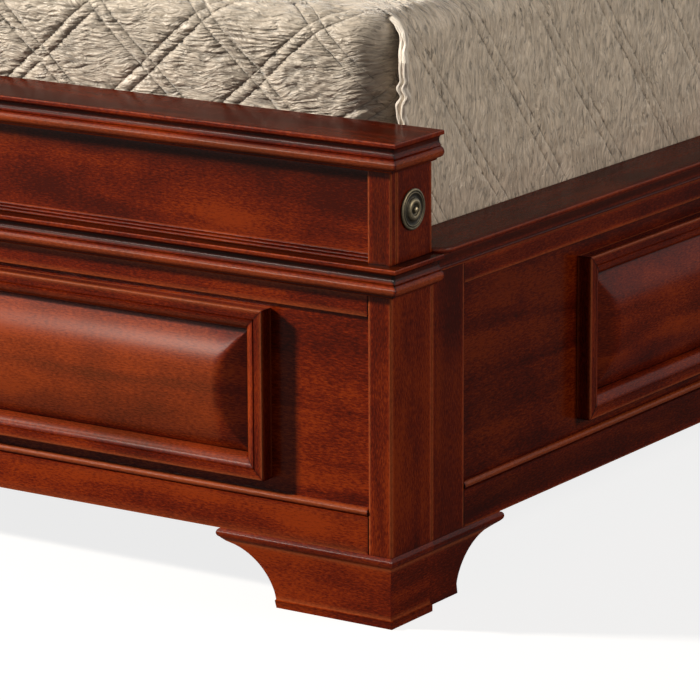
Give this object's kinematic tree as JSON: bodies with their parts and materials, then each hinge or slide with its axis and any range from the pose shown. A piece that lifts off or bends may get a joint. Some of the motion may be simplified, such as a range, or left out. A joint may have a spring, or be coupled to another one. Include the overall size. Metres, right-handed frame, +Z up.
{
  "type": "storage bed",
  "caption": "Storage bed with a moulded footboard, raised pillow drawer fronts under its footboard and side rails, a panelled headboard, slats, a mattress and a quilted coverlet.",
  "frame": {"origin": "centre of the bounding box on the floor", "axes": "+Z up, -Y out from the footboard, +Y towards the headboard, +X to the right seen from the foot"},
  "size_m": [1.714, 2.218, 1.372],
  "materials": {
    "cherry_wood": "glossy red-brown stained cherry",
    "plain_wood": "clear-finished plain wood",
    "zinc_steel": "zinc-plated steel",
    "antique_brass": "aged brass, darker in the hollows",
    "mattress_fabric": "woven ticking",
    "coverlet_fabric": "crinkled satin, quilted in diamonds"
  },
  "bodies": {
    "bed_frame": {"bay_dividers": "plain_wood", "bracket_feet": "cherry_wood", "centre_support": "plain_wood", "coverlet": "coverlet_fabric", "foot_bottom_rail": "cherry_wood", "foot_cap": "cherry_wood", "foot_drawer_panel": "cherry_wood", "foot_posts": "cherry_wood", "foot_top_rail": "cherry_wood", "footboard_back": "cherry_wood", "frieze_beads": "cherry_wood", "frieze_panel": "cherry_wood", "frieze_stiles": "cherry_wood", "head_cap": "cherry_wood", "head_moulding": "cherry_wood", "head_panels": "cherry_wood", "head_posts": "cherry_wood", "head_rails": "cherry_wood", "head_raised_panels": "cherry_wood", "hook_plates": "zinc_steel", "mattress": "mattress_fabric", "rail_bottom_rails": "cherry_wood", "rail_ledges": "cherry_wood", "rail_panels": "cherry_wood", "rail_stiles": "cherry_wood", "rail_top_rails": "cherry_wood", "slat_cleats": "plain_wood", "slats": "plain_wood", "slide_channels": "zinc_steel", "waist_moulding": "cherry_wood"},
    "foot_drawer_left": {"foot_drawer_left_box": "plain_wood", "foot_drawer_left_frame": "cherry_wood", "foot_drawer_left_panel": "cherry_wood", "foot_drawer_left_runners": "zinc_steel"},
    "foot_drawer_right": {"foot_drawer_right_box": "plain_wood", "foot_drawer_right_frame": "cherry_wood", "foot_drawer_right_panel": "cherry_wood", "foot_drawer_right_runners": "zinc_steel"},
    "side_drawer_left_1": {"side_drawer_left_1_box": "plain_wood", "side_drawer_left_1_frame": "cherry_wood", "side_drawer_left_1_panel": "cherry_wood", "side_drawer_left_1_runners": "zinc_steel"},
    "side_drawer_left_2": {"side_drawer_left_2_box": "plain_wood", "side_drawer_left_2_frame": "cherry_wood", "side_drawer_left_2_panel": "cherry_wood", "side_drawer_left_2_runners": "zinc_steel"},
    "side_drawer_right_1": {"side_drawer_right_1_box": "plain_wood", "side_drawer_right_1_frame": "cherry_wood", "side_drawer_right_1_panel": "cherry_wood", "side_drawer_right_1_runners": "zinc_steel"},
    "side_drawer_right_2": {"side_drawer_right_2_box": "plain_wood", "side_drawer_right_2_frame": "cherry_wood", "side_drawer_right_2_panel": "cherry_wood", "side_drawer_right_2_runners": "zinc_steel"},
    "end_drawer_left": {"end_drawer_left_box": "plain_wood", "end_drawer_left_front": "cherry_wood", "end_drawer_left_knob": "antique_brass"},
    "end_drawer_right": {"end_drawer_right_box": "plain_wood", "end_drawer_right_front": "cherry_wood", "end_drawer_right_knob": "antique_brass"}
  },
  "joints": [
    {"name": "foot_drawer_left_slide", "type": "slide", "parent": "bed_frame", "child": "foot_drawer_left", "axis": [0, -1, 0], "range_m": [0, 0.3]},
    {"name": "foot_drawer_right_slide", "type": "slide", "parent": "bed_frame", "child": "foot_drawer_right", "axis": [0, -1, 0], "range_m": [0, 0.3]},
    {"name": "side_drawer_left_1_slide", "type": "slide", "parent": "bed_frame", "child": "side_drawer_left_1", "axis": [-1, 0, 0], "range_m": [0, 0.38]},
    {"name": "side_drawer_left_2_slide", "type": "slide", "parent": "bed_frame", "child": "side_drawer_left_2", "axis": [-1, 0, 0], "range_m": [0, 0.38]},
    {"name": "side_drawer_right_1_slide", "type": "slide", "parent": "bed_frame", "child": "side_drawer_right_1", "axis": [1, 0, 0], "range_m": [0, 0.38]},
    {"name": "side_drawer_right_2_slide", "type": "slide", "parent": "bed_frame", "child": "side_drawer_right_2", "axis": [1, 0, 0], "range_m": [0, 0.38]},
    {"name": "end_drawer_left_slide", "type": "slide", "parent": "bed_frame", "child": "end_drawer_left", "axis": [-1, 0, 0], "range_m": [0, 0.3]},
    {"name": "end_drawer_right_slide", "type": "slide", "parent": "bed_frame", "child": "end_drawer_right", "axis": [1, 0, 0], "range_m": [0, 0.3]}
  ]
}
